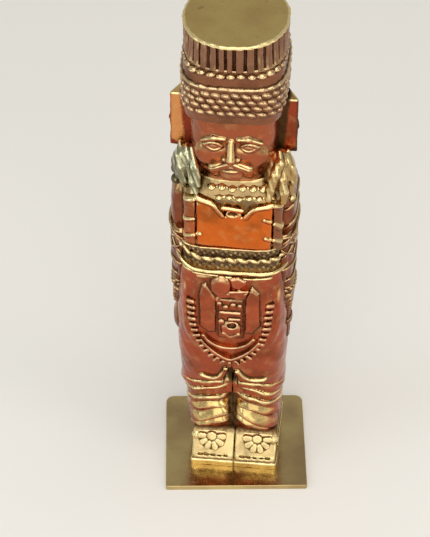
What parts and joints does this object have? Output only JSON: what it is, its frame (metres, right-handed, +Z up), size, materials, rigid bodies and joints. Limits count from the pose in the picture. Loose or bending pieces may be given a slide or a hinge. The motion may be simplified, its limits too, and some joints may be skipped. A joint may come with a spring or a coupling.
{
  "type": "cast brass warrior statuette",
  "caption": "Standing column-shaped warrior figure with a fluted crown, chest plate and fringed apron, cast in brass on a thin sheet plate.",
  "frame": {"origin": "middle of the plate's underside", "axes": "+Z up through the figure; the figure looks along -Y, turned 6.5 degrees on its plate; its own left is at +X"},
  "size_m": [0.06, 0.055, 0.2235],
  "materials": {
    "cast_brass": "polished cast brass with a warm brown patina in the recesses",
    "sheet_brass": "polished sheet brass, olive, with fine scratches",
    "steel": "plain countersunk screw"
  },
  "bodies": {
    "root": {"apron": "cast_brass", "apron_fringe": "cast_brass", "apron_ridge_inner": "cast_brass", "apron_ridge_outer": "cast_brass", "back_disc": "cast_brass", "back_hair": "cast_brass", "back_panel": "cast_brass", "base_plate": "sheet_brass", "base_screw_left": "steel", "base_screw_right": "steel", "belt_cord": "cast_brass", "belt_lower_rim": "cast_brass", "belt_upper_rim": "cast_brass", "crown": "cast_brass", "crown_cap": "cast_brass", "head": "cast_brass", "headband": "cast_brass", "headband_bead_ring": "cast_brass", "kilt": "cast_brass", "left_armlet": "cast_brass", "left_bracelet": "cast_brass", "left_dart_bundle": "cast_brass", "left_ear_panel": "cast_brass", "left_foot": "cast_brass", "left_forearm": "cast_brass", "left_hair_fall": "cast_brass", "left_hand": "cast_brass", "left_leg": "cast_brass", "left_sandal_strap": "cast_brass", "left_upper_arm": "cast_brass", "necklace_lower": "cast_brass", "necklace_pendant": "cast_brass", "necklace_upper": "cast_brass", "pectoral": "cast_brass", "pectoral_left_wing_1": "cast_brass", "pectoral_left_wing_2": "cast_brass", "pectoral_left_wing_3": "cast_brass", "pectoral_right_wing_1": "cast_brass", "pectoral_right_wing_2": "cast_brass", "pectoral_right_wing_3": "cast_brass", "right_armlet": "cast_brass", "right_bracelet": "cast_brass", "right_ear_panel": "cast_brass", "right_foot": "cast_brass", "right_forearm": "cast_brass", "right_hair_fall": "cast_brass", "right_hand": "cast_brass", "right_leg": "cast_brass", "right_pouch": "cast_brass", "right_sandal_strap": "cast_brass", "right_upper_arm": "cast_brass", "sash_knot_left": "cast_brass", "sash_knot_right": "cast_brass", "sash_pendant": "cast_brass", "sash_tail_left": "cast_brass", "sash_tail_right": "cast_brass", "torso": "cast_brass"}
  },
  "joints": []
}
